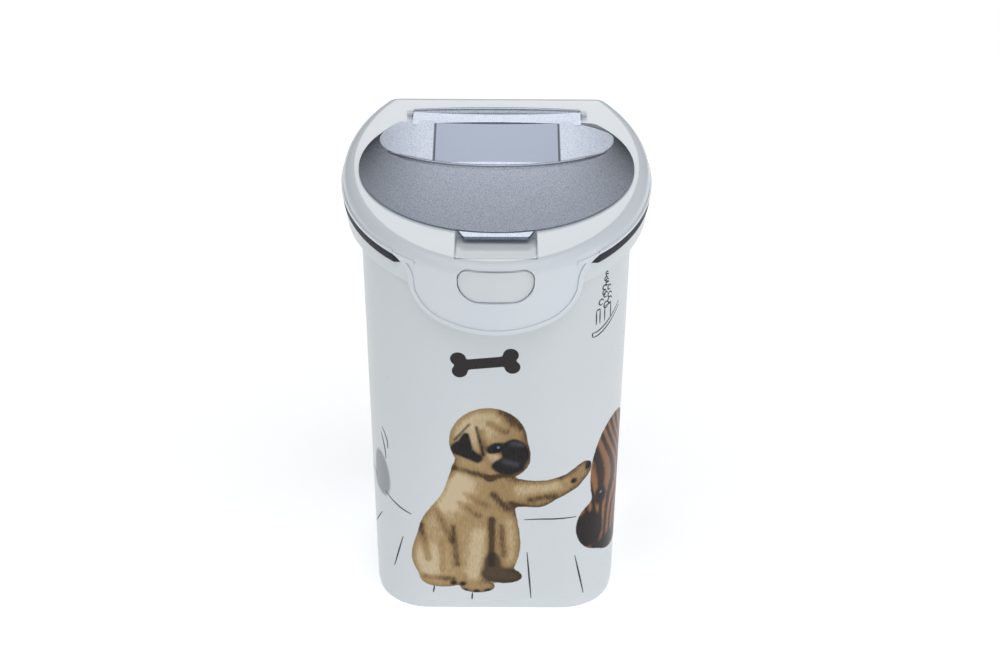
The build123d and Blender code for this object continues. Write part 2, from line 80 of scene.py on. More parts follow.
forward = Vector((0, cos(LOOK_DOWN), -sin(LOOK_DOWN)))
right = Vector((1, 0, 0))
up = right.cross(forward)
right, up = right * cos(ROLL) + up * sin(ROLL), up * cos(ROLL) - right * sin(ROLL)
camera_data = bpy.data.cameras.new("camera")
camera_data.lens = LENS
camera_data.sensor_width = SENSOR
camera = bpy.data.objects.new("camera", camera_data)
axes = Matrix((right, up, -forward)).transposed().to_4x4()
camera.matrix_world = Matrix.Translation(AIM - forward * DISTANCE) @ axes
bpy.context.scene.collection.objects.link(camera)
bpy.context.scene.camera = camera
bpy.context.scene.view_settings.view_transform = "Standard"
print("camera at", [round(value, 3) for value in camera.matrix_world.translation])

# %% [markdown]
# ## Shader expressions
# A finish is easier to read as sums than as a web of nodes.  Value wraps one socket, and its
# operators add the Math nodes.  Web has one method, node, for every other kind of node, and
# Finish is the web of one material.


# %% Value, Web and Finish
class Value:
    """A number that varies over a surface or over the room."""

    def __init__(self, web, socket):
        self.web = web
        self.socket = socket

    def _sum(self, operation, first, second):
        return self.web.node("ShaderNodeMath", {"operation": operation}, {0: first, 1: second})

    def __add__(self, other):
        return self._sum("ADD", self, other)

    __radd__ = __add__

    def __sub__(self, other):
        return self._sum("SUBTRACT", self, other)

    def __rsub__(self, other):
        return self._sum("SUBTRACT", other, self)

    def __mul__(self, other):
        return self._sum("MULTIPLY", self, other)

    __rmul__ = __mul__


class Web:
    """The nodes of a material or of the room."""

    def __init__(self, tree):
        self.tree = tree

    def node(self, kind, settings=None, inputs=None, output=0):
        """Add a node, set it up, feed its sockets, and return one output as a Value."""
        made = self.tree.nodes.new(kind)
        for name, setting in (settings or {}).items():
            setattr(made, name, setting)
        for key, value in (inputs or {}).items():
            self.feed(made.inputs[key], value)
        return Value(self, made.outputs[output])

    def feed(self, socket, value):
        """Link a Value to a socket, or set a plain number or colour on it."""
        if isinstance(value, Value):
            self.tree.links.new(value.socket, socket)
        else:
            socket.default_value = value

    def limit(self, value, low, high):
        """0 below low, 1 above high, and a smooth step between."""
        return self.node(
            "ShaderNodeMapRange",
            {"interpolation_type": "SMOOTHSTEP"},
            {"Value": value, "From Min": low, "From Max": high},
        )


class Finish(Web):
    """A material built round one Principled shader."""

    def __init__(self, name):
        self.material = bpy.data.materials.new(name)
        self.material.use_nodes = True
        super().__init__(self.material.node_tree)
        self.shader = self.tree.nodes["Principled BSDF"]

    def set(self, **inputs):
        """Feed the shader's own sockets by name, with _ for a space."""
        for name, value in inputs.items():
            self.feed(self.shader.inputs[name.replace("_", " ")], value)
        return self

    def place(self):
        """Position on the object itself, in metres."""
        return self.node("ShaderNodeTexCoord", output="Object")

    def noise(self, scale, detail=2.0, roughness=0.5, place=None):
        """Cloudy noise from 0 to 1."""
        sockets = {"Vector": place or self.place(), "Scale": scale}
        sockets.update(Detail=detail, Roughness=roughness)
        return self.node("ShaderNodeTexNoise", None, sockets)

    def mix(self, share, first, second):
        """Colour between two others."""
        sockets = {0: share, 6: first, 7: second}
        return self.node("ShaderNodeMix", {"data_type": "RGBA"}, sockets, output=2)

    def bump(self, height, distance, strength=1.0):
        """A normal tipped by a height field; distance is in metres."""
        sockets = {"Height": height, "Distance": distance, "Strength": strength}
        return self.node("ShaderNodeBump", None, sockets)


print("shader helpers ready")


def srgb(red, green, blue, alpha=1.0):
    """Linear colour from the 0 to 255 values of a paint chart."""
    channels = []
    for channel in (red, green, blue):
        share = channel / 255
        channels.append(share / 12.92 if share <= 0.04045 else ((share + 0.055) / 1.055) ** 2.4)
    return (*channels, alpha)


# %% [markdown]
# ## Lights
# A window-like softbox stands behind the bin at the height where the flat top of the flap
# mirrors it.  A wide one overhead keeps the floor white.  The rest of the room is dim behind
# and at the sides and brighter in front and above, which lets the hood of the flap go dark
# towards its ends while the front wall stays evenly lit.  Seen directly, the room is plain
# white, as a paper backdrop would be.


# %% Softboxes and room
def softbox(name, place, target, width, depth, brightness):
    """A rectangular area light at a place, turned to face a target."""
    data = bpy.data.lights.new(name, "AREA")
    data.shape = "RECTANGLE"
    data.size, data.size_y = width, depth
    data.energy = brightness * pi * width * depth
    box = bpy.data.objects.new(name, data)
    box.location = place
    box.rotation_euler = (Vector(target) - Vector(place)).to_track_quat("-Z", "Y").to_euler()
    bpy.context.scene.collection.objects.link(box)
    return box


softbox("back_window", (0.0, 2.1, 1.75), (0, 0, 0.38), 0.8, 1.0, 3.6)
softbox("overhead", (0, -0.5, 2.3), (0, -0.4, 0), 3.2, 2.0, 0.94)
softbox("right_fill", (2.0, -0.5, 0.6), (0, 0, 0.2), 0.8, 1.0, 1.0)

room = bpy.data.worlds.new("studio")
bpy.context.scene.world = room
room.use_nodes = True
room_web = Web(room.node_tree)
toward = room_web.node("ShaderNodeTexCoord", output="Generated")
split = {"Vector": toward}
sideways = room_web.node("ShaderNodeSeparateXYZ", None, split, output="X")
behind = room_web.node("ShaderNodeSeparateXYZ", None, split, output="Y")
height = room_web.node("ShaderNodeSeparateXYZ", None, split, output="Z")
in_front = 1 - room_web.limit(behind, -0.4, 0.3)
to_right = room_web.limit(sideways, -0.8, 0.8)
room_light = 0.04 + (0.4 + 0.16 * to_right) * in_front + 0.2 * room_web.limit(height, 0.6, 1.0)
room_shader = room.node_tree.nodes["Background"]
room_web.feed(room_shader.inputs["Color"], (0.93, 0.965, 1.0, 1))
seen = room_web.node("ShaderNodeLightPath", output="Is Camera Ray")
room_web.feed(room_shader.inputs["Strength"], room_light * (1 - seen) + 0.98 * seen)
print("lights:", [light.name for light in bpy.data.lights])

# %% [markdown]
# ## White moulded plastic
# The tub and the lid are moulded polypropylene.  Its skin is smooth with a faint orange peel,
# it is a little cooler in the thin places, and handling leaves faint dull patches.


# %% White plastic
def moulded_white(name, warm, cool, gloss, painted_shade=None):
    """Satin white plastic between two near whites, with painted shade where a Value says."""
    finish = Finish(name)
    cloud = finish.noise(14.0, 3.0)
    peel = finish.noise(420.0, 2.0)
    grain = finish.noise(2600.0, 1.0)
    handling = finish.limit(finish.noise(38.0, 4.0, 0.65), 0.52, 0.72)
    body = finish.mix(cloud, warm, cool)
    # Painted shade: the colour is darkened towards a grey where the mask says, with a patchy strength.
    if painted_shade:
        shade_patchiness = finish.noise(500.0, 2.0)
        body = finish.mix((0.4 + 0.3 * shade_patchiness) * painted_shade(finish), body, NOTCH_SHADE_GREY)
    finish.set(
        Base_Color=body,
        Roughness=gloss + 0.02 * handling + 0.04 * grain,
        Normal=finish.bump(peel + 0.25 * grain, 0.00004, 0.5),
        Specular_IOR_Level=0.5,
        IOR=1.49,
    )
    return finish.material


def strip(web, value, middle, half_width):
    """1 on a narrow strip of a coordinate, fading to 0 at its edges."""
    off = web.node("ShaderNodeMath", {"operation": "ABSOLUTE"}, {0: value - middle})
    return 1 - web.limit(off, 0.3 * half_width, half_width)


def inside(web, value, middle, half_width):
    """1 within a distance of a middle value, 0 beyond it."""
    off = web.node("ShaderNodeMath", {"operation": "ABSOLUTE"}, {0: value - middle})
    return 1 - web.limit(off, half_width - 0.3 * MM, half_width + 0.3 * MM)


def axis(web, name):
    """One coordinate of the object's own space, in metres."""
    return web.node("ShaderNodeSeparateXYZ", None, {"Vector": web.place()}, output=name)


def notch_painted_shade(web):
    """Painted shade along the three walls of the finger notch in the deck, where its steps fall into
    shadow.
    """
    x, y, z = axis(web, "X"), axis(web, "Y"), axis(web, "Z")
    deck = web.limit(z, 366.5 * MM, 367.0 * MM)
    front = strip(web, y, WIDEST_Y - 147.5 * MM, 1.3 * MM) * inside(web, x, 0.0, 33 * MM)
    run = inside(web, y, WIDEST_Y - 129 * MM, 18.5 * MM)
    sides = (strip(web, x, 33 * MM, 1.2 * MM) + strip(web, x, -33 * MM, 1.2 * MM)) * run
    return deck * (front + sides)


# Grey of the painted shade along the walls of the lid's finger notch.
NOTCH_SHADE_GREY = srgb(120, 130, 136)
tub_white = moulded_white("tub_white", srgb(226, 229, 230), srgb(220, 226, 230), 0.27)
lid_white = moulded_white("lid_white", srgb(228, 232, 235), srgb(222, 228, 235), 0.22, notch_painted_shade)
print("white plastics:", tub_white.name, lid_white.name)

# %% [markdown]
# ## Slate seal
# The seal is a soft ring pinched between tub and lid.  Soft rubber is nearly black, with a
# dusty bloom that lifts its colour and roughness unevenly.

# %% Seal
seal_finish = Finish("seal_slate")
bloom = seal_finish.limit(seal_finish.noise(60.0, 5.0, 0.7), 0.4, 0.75)
seal_grain = seal_finish.noise(3200.0, 2.0)
seal_finish.set(
    Base_Color=seal_finish.mix(bloom, srgb(36, 37, 43), srgb(52, 54, 62)),
    Roughness=0.5 + 0.16 * bloom + 0.06 * seal_grain,
    Specular_IOR_Level=0.3,
    Normal=seal_finish.bump(seal_grain, 0.00005, 0.6),
)
seal_slate = seal_finish.material

# %% [markdown]
# ## Silver flap
# The flap is plastic coloured with metal flake.  Each flake is a tiny mirror, so fine cells
# vary both colour and tilt, over a spark-eroded grain that spreads the reflections.

# %% Silver plastic
silver = Finish("flap_silver")
cells = {"Vector": silver.place(), "Scale": 1500.0}
flakes = silver.node("ShaderNodeTexVoronoi", {"feature": "F1"}, cells)
flake_tone = silver.limit(flakes, 0.15, 0.75)
erosion = silver.noise(1900.0, 2.0, 0.6)
drift = silver.noise(10.0, 2.0)
flap_x, flap_y, flap_z = axis(silver, "X"), axis(silver, "Y"), axis(silver, "Z")
RECESS_HALF = 53 * MM
recess_run = inside(silver, flap_y, WIDEST_Y + 17 * MM, 35 * MM)
low = 1 - silver.limit(flap_z, 387.9 * MM, 388.1 * MM)
recess_floor = silver.limit(flap_z, 383 * MM, 384 * MM)
in_recess = inside(silver, flap_x, 0.0, RECESS_HALF) * recess_run * low * recess_floor
# Painted shade: dark lines down the side walls of the plate's recess, where shadow falls in the slots.
recess_wall_shade = strip(silver, flap_x, RECESS_HALF, 1.5 * MM) + strip(silver, flap_x, -RECESS_HALF, 1.5 * MM)
recess_wall_shade = recess_wall_shade * recess_run * low
grain_share = 1 - 0.8 * in_recess
metal = silver.mix(flake_tone * grain_share, srgb(178, 184, 196), srgb(134, 140, 152))
# Painted shade and reflection: the recess floor is tinted a darker, bluer grey. Its finer grain and
# higher roughness are the surface's own.
metal = silver.mix(0.6 * in_recess, metal, srgb(136, 146, 164))
metal = silver.mix(0.85 * recess_wall_shade, metal, srgb(40, 44, 52))
silver.set(
    Base_Color=metal,
    Metallic=0.86 + 0.1 * drift,
    Roughness=0.27 + 0.08 * erosion + 0.13 * in_recess,
    Normal=silver.bump((erosion + 0.5 * flake_tone) * grain_share, 0.00006, 0.5),
)
flap_silver = silver.material

# %% [markdown]
# ## Hinge pins
# The pins are drawn wire: fine rings run round each one, from the die.

# %% Pins
pin = Finish("pin_grey")
bands = {"wave_type": "BANDS", "bands_direction": "X"}
draw_lines = pin.node("ShaderNodeTexWave", bands, {"Vector": pin.place(), "Scale": 900.0})
pin_grain = pin.noise(1500.0, 2.0)
pin.set(
    Base_Color=pin.mix(pin_grain, srgb(150, 152, 156), srgb(176, 178, 182)),
    Metallic=1.0,
    Roughness=0.3 + 0.12 * pin_grain,
    Normal=pin.bump(draw_lines, 0.00002, 0.5),
)
pin_grey = pin.material

# %% Put the finishes on the CAD pieces
FINISHES = {
    "bin_body": tub_white,
    "lid_frame": lid_white,
    "seal_ring": seal_slate,
    "flap_gasket": seal_slate,
    "flap": flap_silver,
    "flap_hinge_pins": pin_grey,
    "lid_hinge_pins": pin_grey,
}
for node_name, material in FINISHES.items():
    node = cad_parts[node_name]
    node.data.materials.clear()
    node.data.materials.append(material)
print("finished", len(FINISHES), "CAD pieces")

# %% [markdown]
# ## The printed film
# A thin printed sheet is laid in the mould and becomes part of the wall, so it follows the tub
# exactly.  The CAD film is a plain shell.  This one has the same outline with a close grid of
# points, because the drawing on it is stored point by point.  The outline at each height is a
# straight front, a round corner and a straight side.

# %% Outline of the wall at a height, in millimetres
SHELF_Z = 354.0
FILM_STEP = 1.4
FILM_PROUD = 0.3
FILM_BACK = 58.0


def wall_sizes(z):
    """Half width, front, and front corner radius of the tub at a height."""
    share = z / SHELF_Z
    return 103.8 + 9.5 * share, 129.8 + 9.2 * share, 46.0 + 52.0 * share


def on_wall(s, z, proud):
    """Point on the wall s round from the middle of the front, proud of the plastic."""
    half, front, corner = wall_sizes(z)
    side = np.sign(s)
    run = np.abs(s)
    flat = half - corner
    turn = np.clip((run - flat) / corner, 0, pi / 2)
    past = np.maximum(run - flat - corner * pi / 2, 0)
    x = np.minimum(run, flat) + (corner + proud) * np.sin(turn)
    y = -(front - corner) - (corner + proud) * np.cos(turn) + past
    return np.stack([side * x * MM, y * MM + WIDEST_Y, z * MM + 0 * x], axis=-1)


def round_from(x, z):
    """How far round the wall a point lies whose sideways place is x."""
    half, _, corner = wall_sizes(z)
    flat = half - corner
    past_flat = np.clip((abs(x) - flat) / corner, 0, 1)
    return np.sign(x) * (min(abs(x), flat) + corner * np.arcsin(past_flat))


def film_reach(z):
    """How far round the film reaches at a height."""
    half, front, corner = wall_sizes(z)
    return half - corner + corner * pi / 2 + front - corner + FILM_BACK


print("the film reaches", round(film_reach(172), 1), "mm round at mid height")

# %% Grid of points on the film
rows = np.arange(FILM_LOW / MM, FILM_HIGH / MM, FILM_STEP)
front_columns = np.arange(-150.0, 150.1, FILM_STEP)
side_columns = np.arange(3.0, 118.0, 3.0)
shares = np.concatenate([-150 - side_columns[::-1], front_columns, 150 + side_columns])
film_s = np.empty((len(rows), len(shares)))
for index, z in enumerate(rows):
    squeeze = (film_reach(z) - 150) / (shares[-1] - 150)
    outer = np.abs(shares) > 150
    film_s[index] = np.where(outer, np.sign(shares) * (150 + (np.abs(shares) - 150) * squeeze), shares)
film_z = np.repeat(rows[:, None], len(shares), axis=1)
film_points = on_wall(film_s, film_z, FILM_PROUD)
print("film grid:", film_s.shape)

# %% [markdown]
# ## Drawing with distances
# Each shape in the drawing is stored as the distance to its edge, in millimetres and negative
# inside.  Distances blend well: taking the smaller joins two shapes, and a softened smaller
# one joins them like clay.  The finish turns them into edges, which stay sharp between the
# points of the grid, and can roughen them into fur.


# %% Shapes as distances
def oval(centre, radii, tilt=0.0):
    """Distance to a tilted ellipse on the film."""
    across, high = film_s - centre[0], film_z - centre[1]
    turn = radians(tilt)
    along = across * cos(turn) + high * sin(turn)
    over = high * cos(turn) - across * sin(turn)
    reach = np.hypot(along / radii[0], over / radii[1])
    slope = np.hypot(along / radii[0] ** 2, over / radii[1] ** 2)
    return reach * (reach - 1) / np.maximum(slope, 1e-4)


def limb(start, end, first, last):
    """Distance to a straight limb whose radius changes from first to last."""
    run = np.array(end, float) - np.array(start, float)
    across, high = film_s - start[0], film_z - start[1]
    share = np.clip((across * run[0] + high * run[1]) / (run @ run), 0, 1)
    return np.hypot(across - share * run[0], high - share * run[1]) - (first + (last - first) * share)


def joined(soft, *shapes):
    """Shapes joined like clay, over a softness in millimetres."""
    total = shapes[0]
    for shape in shapes[1:]:
        overlap = np.clip(0.5 + 0.5 * (shape - total) / soft, 0, 1)
        total = shape * (1 - overlap) + total * overlap - soft * overlap * (1 - overlap)
    return total


def glow(shape, spread):
    """1 inside a shape, fading to 0 over a spread outside it."""
    return np.exp(-np.square(np.maximum(shape, 0) / spread))


# %% [markdown]
# ## The puppy
# The print on this bin shows a sitting fawn puppy with a dark face and one raised paw.  It is
# drawn here from a few ovals and limbs of our own, big masses first: head, neck, body, rump
# and legs.

# %% Puppy silhouette
head = joined(8, oval((-6, 185), (33, 34)), oval((14, 168), (16, 17)), oval((-2, 160), (26, 18)))
trunk = limb((-12, 150), (-16, 112), 26, 33)
trunk = joined(10, trunk, oval((-26, 84), (40, 46), -22), oval((-45, 58), (28, 29)))
trunk = joined(8, trunk, oval((2, 74), (20, 40)), oval((-44, 34), (20, 9)))
raised_leg = joined(6, limb((8, 130), (36, 128), 17, 13), limb((36, 128), (66, 139), 12.5, 9.5))
raised_leg = joined(6, raised_leg, oval((75, 146), (12, 8.5), 38))
standing_leg = joined(5, limb((-22, 96), (-19, 34), 15, 10), oval((-15, 25), (15, 7)))
far_foot = oval((6, 38), (18, 9), -6)
puppy = joined(4, head, trunk, raised_leg, standing_leg, far_foot)
puppy_z = film_z[puppy < 0]
print("puppy spans", round(float(puppy_z.min())), "to", round(float(puppy_z.max())), "mm high")

# %% Dark markings
ear = joined(3, limb((-31, 177), (-15, 166), 7, 4.5), limb((-25, 190), (-27, 178), 3.5, 8))
ear = joined(1, ear, limb((-16, 199), (-10, 170), 1.2, 1.6), limb((-22, 202), (-34, 186), 0.8, 1.2))
muzzle = joined(4, oval((17, 172), (12, 15), 12), oval((11, 158), (14, 9)))
muzzle = joined(4, muzzle, oval((0, 177), (8.5, 5.5), 24))
toes = joined(1, oval((82, 151), (3, 5), -20), oval((68, 139), (3, 3)))
for toe in ((-26, 20), (-16, 19), (-6, 20), (-36, 29), (-28, 28)):
    toes = joined(1, toes, oval(toe, (3, 2.5)))
under = joined(4, far_foot, oval((-2, 48), (8, 16)))
markings = joined(2, muzzle, ear)
print("marked area:", round(float((markings < 0).mean()), 4))

# %% Light and shade in the fur
shade = 0.12 + 0.5 * np.clip((film_s + 30) / 90, -0.5, 0.5)
shade -= 0.7 * glow(oval((-36, 130), (8, 14), -30), 10)
shade -= 0.5 * glow(oval((-14, 200), (13, 8), 20), 12)
shade -= 0.55 * glow(limb((-14, 84), (-18, 40), 2, 2), 6)
shade -= 0.6 * glow(limb((22, 132), (58, 138), 2, 2), 5)
shade -= 0.45 * glow(oval((-56, 52), (5, 12)), 8)
shade -= 0.5 * glow(oval((-3, 165), (4, 4)), 5)
shade -= 0.5 * glow(limb((14, 96), (16, 56), 2, 2), 5)
for start, end, weight in (
    ((-34, 156), (-4, 145), 1.1), ((-4, 145), (12, 150), 1.0), ((-50, 110), (-38, 76), 0.7),
    ((-64, 92), (-58, 56), 0.9), ((-36, 92), (-33, 50), 0.9), ((-3, 100), (-3, 50), 1.2),
    ((10, 112), (-2, 128), 0.9), ((14, 118), (26, 112), 0.8), ((4, 214), (13, 201), 0.6),
    ((11, 212), (20, 199), 0.6), ((-5, 203), (9, 194), 0.8), ((-12, 194), (-9, 178), 0.8),
    ((-12, 170), (-3, 158), 0.8), ((-41, 170), (-38, 148), 0.6), ((-60, 36), (-36, 33), 1.0),
    ((-30, 118), (-14, 104), 0.6), ((-26, 128), (-8, 116), 0.5), ((30, 122), (50, 127), 0.7),
    ((56, 146), (60, 136), 0.6), ((6, 92), (8, 60), 0.7), ((-46, 74), (-46, 44), 0.5),
):
    shade += 0.8 * weight * glow(limb(start, end, 0.6, 0.6), 2.7)
shade += 0.6 * np.clip(1 + puppy / 6, 0, 1)
print("shade from", round(float(shade.min()), 2), "to", round(float(shade.max()), 2))

# %% [markdown]
# ## The second dog, and the plain motif
# Round the right corner a brown wrinkled dog looks back at the puppy.  Above the puppy sits a
# plain bone shape, a motif that any dog food bin could carry.

# %% Second dog and bone
second_head = joined(8, oval((122, 128), (37, 58), 6), oval((92, 84), (21, 26), 14))
second_head = joined(8, second_head, oval((118, 62), (24, 14)))
second_body = joined(8, limb((142, 112), (188, 74), 38, 48), limb((162, 62), (152, 24), 15, 10))
second_body = joined(8, second_body, oval((218, 46), (32, 27)))
second_dog = joined(6, second_head, second_body)
second_dark = joined(5, oval((84, 82), (16, 20), 20), oval((97, 112), (8, 10), 10))
second_dark = joined(5, second_dark, oval((110, 58), (22, 8)))
second_eye = oval((98, 113), (3.4, 4.2))
folds = film_s * 0.8 + 10 * np.sin(film_z / 24) + 5 * np.sin(film_s / 13 + film_z / 17)
wrinkles = np.sin(folds / 1.5) * np.clip(1.6 - np.abs(film_s - 112) / 40, 0.15, 1)
bone = joined(2, limb((-28, 263), (11, 267), 5.2, 5.2))
for knob in ((-31, 269), (-29.6, 257), (12.6, 273), (14, 261)):
    bone = joined(2, bone, oval(knob, (6.6, 6.6)))
grey_cushion = oval((round_from(-98, 125), 128), (12, 22), 12)
grey_cushion = joined(6, grey_cushion, oval((round_from(-100, 112), 118), (10, 10)))
bone_s = film_s[bone < 0]
print("bone spans", round(float(bone_s.min())), "to", round(float(bone_s.max())), "mm")

# %% Fields stored on the film
sheen = 0.8 * glow(limb((15, 182), (22, 181), 0.5, 0.5), 2.2)
sheen += 0.8 * glow(limb((8, 163), (18, 160), 0.5, 0.5), 2.2)
FIELDS = {
    "puppy": puppy,
    "markings": joined(1.5, markings, toes),
    "under": under,
    "shade": shade,
    "second": second_dog,
    "second_dark": second_dark,
    "wrinkles": wrinkles,
    "eyes": np.minimum(oval((1.5, 176.5), (3.8, 4.0)), second_eye),
    "glints": np.minimum(oval((2.6, 178.0), (1.5, 1.3)), oval((97.4, 115), (1.7, 1.5))),
    "sheen": sheen,
    "bone": bone,
    "cushion": grey_cushion,
}


def add_mesh(name, corners, faces, material=None, smooth=True):
    """Put a mesh of corners and faces in the scene."""
    mesh = bpy.data.meshes.new(name)
    mesh.from_pydata(corners, [], faces)
    mesh.polygons.foreach_set("use_smooth", np.full(len(faces), smooth))
    made = bpy.data.objects.new(name, mesh)
    bpy.context.scene.collection.objects.link(made)
    if material:
        mesh.materials.append(material)
    return made


def grid_mesh(name, points):
    """A smooth four-sided mesh over a grid of points."""
    count_z, count_s = points.shape[:2]
    corner = np.arange(count_z * count_s).reshape(count_z, count_s)
    faces = np.stack([corner[:-1, :-1], corner[:-1, 1:], corner[1:, 1:], corner[1:, :-1]], axis=-1)
    return add_mesh(name, points.reshape(-1, 3).tolist(), faces.reshape(-1, 4).tolist())


film = grid_mesh("printed_wall_film", film_points)
for field_name, field in FIELDS.items():
    layer = film.data.attributes.new(field_name, "FLOAT", "POINT")
    layer.data.foreach_set("value", field.astype(np.float32).ravel())
layer = film.data.attributes.new("on_film", "FLOAT_VECTOR", "POINT")
flat_place = np.stack([film_s, film_z, 0 * film_s], axis=-1).astype(np.float32)
layer.data.foreach_set("vector", flat_place.ravel())
backing = film.modifiers.new("thickness", "SOLIDIFY")
backing.thickness = 0.2 * MM
backing.offset = -1.0
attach(film, "tub")
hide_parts("wall_label")
print("film points:", len(film.data.vertices))

# %% [markdown]
# ## Finish of the film
# The paper-white ground is a little glossier than the tub.  Fur is noise stretched along the
# lie of the coat, used three times: to fray the edge of the silhouette, to streak the
# colour, and to lift a faint relief.

# %% Film finish
film_finish = Finish("printed_film")


def field(name):
    """One stored number of the drawing."""
    return film_finish.node("ShaderNodeAttribute", {"attribute_name": name}, output=2)


def lie_of_coat(turn, across, along):
    """Film coordinates turned and stretched so that noise runs in streaks."""
    flat = film_finish.node("ShaderNodeAttribute", {"attribute_name": "on_film"}, output=1)
    sockets = {"Vector": flat, "Rotation": (0, 0, radians(turn)), "Scale": (across, along, 1)}
    return film_finish.node("ShaderNodeMapping", None, sockets)


streaks = film_finish.noise(1.0, 3.0, 0.6, lie_of_coat(24, 0.85, 0.16))
tufts = film_finish.noise(1.0, 4.0, 0.6, lie_of_coat(-16, 0.22, 0.1))
fray = 2.6 * (streaks - 0.5) + 1.6 * (tufts - 0.5)


def edge(name, blur=0.35, rough=1.0):
    """1 inside a shape of the drawing and 0 outside, with a frayed edge."""
    return 1 - film_finish.limit(field(name) + rough * fray, -blur, blur)


paper_cloud = film_finish.noise(9.0, 2.0)
colour = film_finish.mix(paper_cloud, srgb(226, 230, 231), srgb(220, 225, 229))
colour = film_finish.mix(0.7 * edge("cushion", 2.0, 0.0), colour, srgb(120, 124, 132))
tone = field("shade") + 1.1 * (streaks - 0.5) + 0.5 * (tufts - 0.5)
fawn = film_finish.mix(film_finish.limit(tone, -0.55, 0.25), srgb(212, 192, 156), srgb(172, 142, 98))
fawn = film_finish.mix(film_finish.limit(tone, 0.15, 1.15), fawn, srgb(78, 56, 34))
fawn = film_finish.mix(0.85 * edge("under", 2.5, 1.0), fawn, srgb(44, 35, 28))
mask_fur = film_finish.mix(film_finish.limit(streaks, 0.3, 0.8), srgb(10, 10, 15), srgb(44, 38, 36))
mask_fur = film_finish.mix(field("sheen") * (0.4 + 0.6 * tufts), mask_fur, srgb(84, 82, 88))
fawn = film_finish.mix(edge("markings", 1.6, 0.8), fawn, mask_fur)
colour = film_finish.mix(edge("puppy", 0.5, 0.55), colour, fawn)
stripe = film_finish.limit(field("wrinkles") + 2.2 * (streaks - 0.5), -0.6, 0.8)
brown = film_finish.mix(stripe, srgb(52, 35, 27), srgb(150, 103, 66))
brown = film_finish.mix(edge("second_dark", 3.0, 1.0), brown, srgb(36, 29, 28))
colour = film_finish.mix(edge("second", 0.5, 0.5), colour, brown)
colour = film_finish.mix(edge("eyes", 0.4, 0.0), colour, srgb(10, 12, 18))
colour = film_finish.mix(edge("glints", 0.4, 0.0), colour, srgb(120, 128, 142))
colour = film_finish.mix(edge("bone", 0.3, 0.05), colour, srgb(46, 42, 42))
film_peel = film_finish.noise(420.0, 2.0)
film_finish.set(
    Base_Color=colour,
    Roughness=0.24 + 0.05 * film_peel + 0.04 * streaks,
    Specular_IOR_Level=0.22,
    Normal=film_finish.bump(film_peel + 0.15 * streaks, 0.00003, 0.4),
)
film.data.materials.append(film_finish.material)
print("film finish nodes:", len(film_finish.tree.nodes))

# %% [markdown]
# ## Pen strokes
# The room round the puppy is only pen lines: the edge of the floor, a few boards, a potted
# plant on a shelf.  The boards run towards one point high above, as in a perspective drawing,
# and the plant is a climbing row of curls.  Each stroke is a thin bar of ink on the film that
# swells in the middle and thins at its ends, as a pen line does.


# %% Ink strokes
INK_TOP, INK_FOOT = 0.36, 0.25   # how far the ink's top and foot stand proud of the wall
INK_WIDTH = 1.5


def stroke_points(path, count):
    """A smooth line through a few marks on the film, as (round, height) pairs."""
    marks = np.array(path, float)
    if len(marks) == 2:
        marks = np.array([marks[0], marks.mean(axis=0), marks[1]])
    knots = np.linspace(0, 1, len(marks))
    wanted = np.linspace(0, 1, count)
    shape = np.polynomial.polynomial.polyfit(knots, marks, min(len(marks) - 1, 5))
    return np.polynomial.polynomial.polyval(wanted, shape).T


def ink_stroke(verts, faces, path, width):
    """Add one stroke to growing lists of corners and faces."""
    count = 18
    line = stroke_points(path, count)
    lead = np.gradient(line, axis=0)
    lead /= np.linalg.norm(lead, axis=1)[:, None]
    swell = width * (0.35 + 0.65 * np.sin(np.linspace(0.12, pi - 0.2, count)))
    offset = np.stack([-lead[:, 1], lead[:, 0]], axis=1) * swell[:, None] / 2
    first = len(verts)
    for proud, side in ((INK_TOP, 1), (INK_TOP, -1), (INK_FOOT, -1), (INK_FOOT, 1)):
        rail = line + side * offset
        verts.extend(on_wall(rail[:, 0], rail[:, 1], proud).tolist())
    for step in range(count - 1):
        for side in range(4):
            near, far = first + side * count + step, first + (side + 1) % 4 * count + step
            faces.append((near, far, far + 1, near + 1))
    faces.append(tuple(first + side * count for side in (3, 2, 1, 0)))
    faces.append(tuple(first + side * count + count - 1 for side in range(4)))


SKIRTING_Z = 100
SKIRTING_STROKES = (
    ((25, SKIRTING_Z), (48, SKIRTING_Z + 1), (70, SKIRTING_Z)),
    ((-95, SKIRTING_Z + 12), (-84, SKIRTING_Z + 5), (-72, SKIRTING_Z + 1)),
)
VANISHING_Z = 425
BOARDS = ((-104, 66, 86), (-88, 38, 74), (-54, 18, 26), (-20, 10, 18), (32, 12, 64), (78, 14, 58))
LEFT_STROKES = (((-97, 176), (-93, 168), (-92, 158)), ((-98, 170), (-95, 158), (-94, 146)))
SIDE_STROKES = (
    ((-118, 120), (-165, 123), (-228, 122)), ((-150, 90), (-162, 42)), ((-200, 94), (-214, 50)),
    ((236, 100), (248, 101), (262, 100)), ((182, 16), (184, 10)), ((250, 74), (261, 30)),
)
SHELF_LINE = ((80, 278), (86, 278), (94, 283), (102, 293))
SHELF_THICK = 4
POT_LINES = (83, 86, 90, 95)
POT_LOW, POT_HIGH = 288, 302
LEAF_COUNT, PLANT_X, PLANT_LOW, PLANT_HIGH = 13, 91, 303, 333

